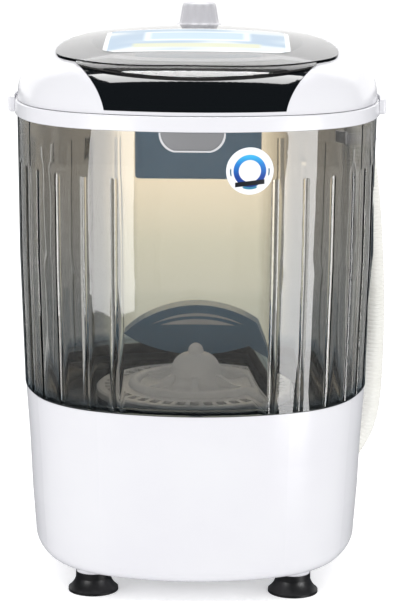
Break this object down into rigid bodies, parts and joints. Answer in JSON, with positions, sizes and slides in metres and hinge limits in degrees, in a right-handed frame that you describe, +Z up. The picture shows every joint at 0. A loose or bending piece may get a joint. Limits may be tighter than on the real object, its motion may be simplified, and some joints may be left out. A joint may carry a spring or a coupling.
{
  "type": "portable mini washer",
  "caption": "Portable tub washer with a smoked see-through tub, hinged smoked lid, winding timer knob, belt-driven pulsator, side drain hose and suction feet.",
  "frame": {"origin": "on the floor, under the centre of the body", "axes": "+Z up, -Y to the front where the fascia and badge are, +X to the right seen from the front"},
  "size_m": [0.394, 0.3668, 0.5727],
  "materials": {
    "white_plastic": "moulded, glossy",
    "grey_plastic": "moulded, matt",
    "knob_plastic": "moulded, satin",
    "smoked_tub": "clear smoked, polished",
    "smoked_trap": "dark smoked, polished",
    "smoked_lid": "clear smoked, polished",
    "black_gloss": "piano black",
    "chrome": "polished",
    "brushed_plate": "brushed",
    "sticker_film": "printed film",
    "label_film": "printed film",
    "black_rubber": "matt",
    "zinc_steel": "zinc plated",
    "shaft_steel": "ground",
    "bronze": "sintered",
    "motor_paint": "painted",
    "laminated_iron": "laminated",
    "alloy": "die cast",
    "capacitor_case": "moulded",
    "pulsator_plastic": "moulded, satin",
    "hose_plastic": "blow moulded, corrugated"
  },
  "bodies": {
    "cabinet": {"badge_frame": "chrome", "badge_plate": "brushed_plate", "base_housing": "white_plastic", "bearing_housing": "grey_plastic", "bottom_cover": "grey_plastic", "bottom_cover_screws": "zinc_steel", "bracket_screws": "zinc_steel", "capacitor_clamp": "zinc_steel", "cord_gland": "black_rubber", "cover_screws": "zinc_steel", "drain_grille": "grey_plastic", "drain_hose": "hose_plastic", "drain_spout": "grey_plastic", "drain_sump": "grey_plastic", "drive_belt": "black_rubber", "foot_front_left": "black_rubber", "foot_front_right": "black_rubber", "foot_rear_left": "black_rubber", "foot_rear_right": "black_rubber", "foot_studs": "zinc_steel", "front_fascia": "black_gloss", "hose_clip": "white_plastic", "hose_nozzle": "hose_plastic", "housing_screws": "zinc_steel", "lid_hinge_pins": "zinc_steel", "lint_bars": "pulsator_plastic", "lint_trap": "smoked_trap", "lower_bush": "bronze", "motor_bracket": "zinc_steel", "motor_bushes": "black_rubber", "motor_end_cap": "motor_paint", "motor_frame": "motor_paint", "motor_stator": "laminated_iron", "round_sticker": "sticker_film", "run_capacitor": "capacitor_case", "shaft_seal": "black_rubber", "side_grip_left": "white_plastic", "side_grip_right": "white_plastic", "spout_grommet": "black_rubber", "sump_hose": "black_rubber", "timer_case": "grey_plastic", "timer_screws": "zinc_steel", "timer_shroud": "smoked_trap", "top_collar": "white_plastic", "top_cover": "white_plastic", "tub_gasket": "black_rubber", "upper_bush": "bronze", "wash_tub": "smoked_tub", "water_inlet": "black_rubber"},
    "lid": {"lid": "smoked_lid", "lid_label": "label_film"},
    "timer": {"timer_knob": "knob_plastic", "timer_shaft": "shaft_steel"},
    "pulsator": {"pulsator": "pulsator_plastic", "pulsator_cap": "pulsator_plastic", "pulsator_screw": "zinc_steel", "pulsator_shaft": "shaft_steel", "driven_pulley": "grey_plastic", "pulley_nut": "zinc_steel"},
    "motor": {"motor_rotor": "shaft_steel", "motor_pulley": "alloy"}
  },
  "joints": [
    {"name": "lid_hinge", "type": "hinge", "parent": "cabinet", "child": "lid", "pos_m": [0, 0.132, 0.54], "axis": [-1, 0, 0], "range_deg": [0, 100]},
    {"name": "timer_turn", "type": "hinge", "parent": "cabinet", "child": "timer", "pos_m": [0, 0.113, 0.55], "axis": [0, 0, -1], "range_deg": [0, 300]},
    {"name": "pulsator_spin", "type": "hinge", "parent": "cabinet", "child": "pulsator", "pos_m": [0, 0, 0.18], "axis": [0, 0, 1], "continuous": true},
    {"name": "motor_spin", "type": "hinge", "parent": "cabinet", "child": "motor", "pos_m": [0, 0.1, 0.062], "axis": [0, 0, 1], "continuous": true}
  ],
  "couplings": [
    {"joint": "motor_spin", "follows": "pulsator_spin", "ratio": 4.9048}
  ]
}
